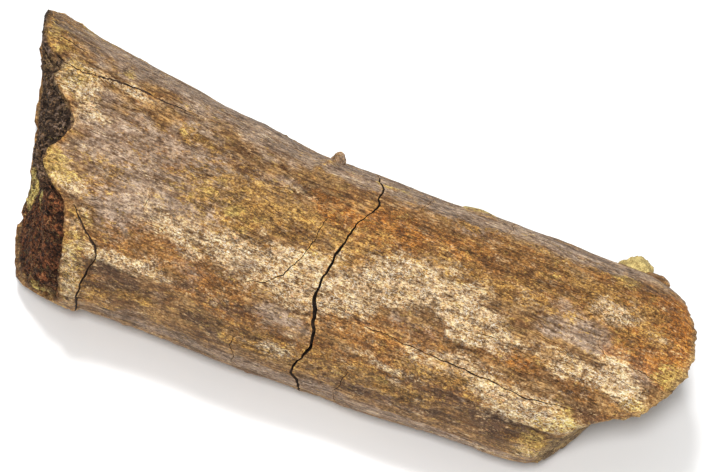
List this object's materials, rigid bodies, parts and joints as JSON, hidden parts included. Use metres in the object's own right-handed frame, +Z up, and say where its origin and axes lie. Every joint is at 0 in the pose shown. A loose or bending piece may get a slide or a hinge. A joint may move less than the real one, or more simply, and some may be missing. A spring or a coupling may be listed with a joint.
{
  "type": "fossil bone section",
  "caption": "Broken length of petrified dinosaur limb shaft, flared to a spongy break at one end and to a rounded tongue at the other, cracked across; lies flat as a display piece.",
  "frame": {"origin": "on the ground plane, under the middle of the object's box", "axes": "+X along the shaft towards the rounded tongue, +Z up away from the worn strip it rests on, +Y towards the side with the crust lump"},
  "size_m": [0.3076, 0.1116, 0.0835],
  "materials": {
    "fossil_bone": "dry weathered petrified bone"
  },
  "bodies": {
    "root": {"fossil_bone": "fossil_bone"}
  },
  "joints": []
}
